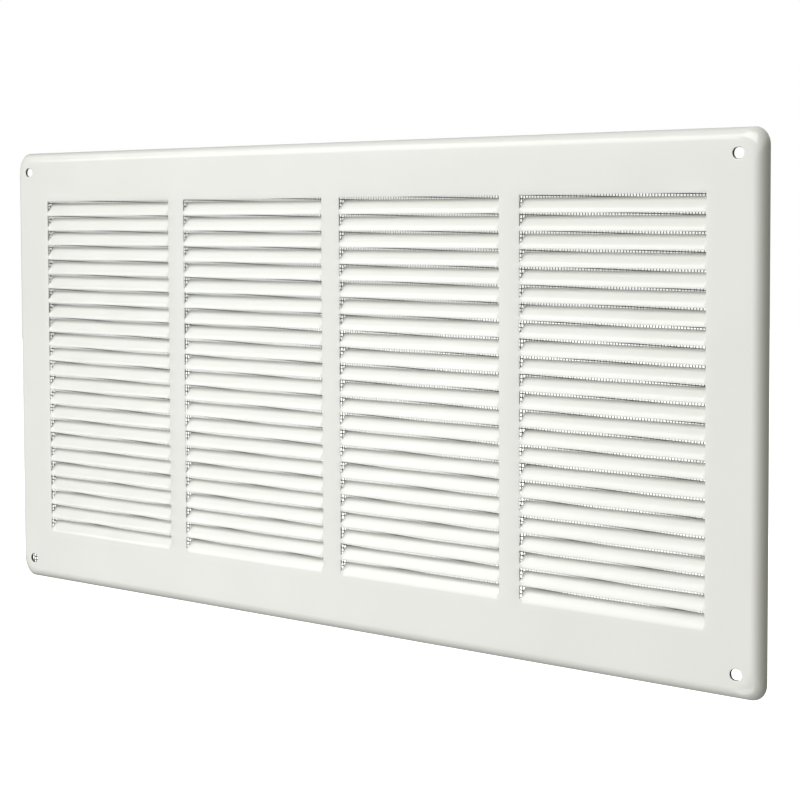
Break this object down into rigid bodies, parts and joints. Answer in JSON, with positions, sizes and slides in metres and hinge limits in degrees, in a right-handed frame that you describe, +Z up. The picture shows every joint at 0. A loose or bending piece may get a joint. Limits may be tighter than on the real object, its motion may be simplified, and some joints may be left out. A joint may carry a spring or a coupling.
{
  "type": "louvred air grille",
  "caption": "Pressed steel ventilation grille with fixed louvres, a rounded rim, slotted corner fixing holes and a woven insect mesh behind it.",
  "frame": {"origin": "centre of the panel in the plane of the rim's rear edge, which rests on the wall", "axes": "+X along the panel, +Z up, +Y into the wall; the face looks along -Y"},
  "size_m": [0.45, 0.0046, 0.2],
  "materials": {
    "white_powder_coat": "gloss",
    "mesh_wire": "satin",
    "adhesive": "satin"
  },
  "bodies": {
    "root": {"grille_panel": "white_powder_coat", "mesh_warp_wires": "mesh_wire", "mesh_weft_wires": "mesh_wire", "glue_beads_long": "adhesive", "glue_beads_short": "adhesive"}
  },
  "joints": []
}
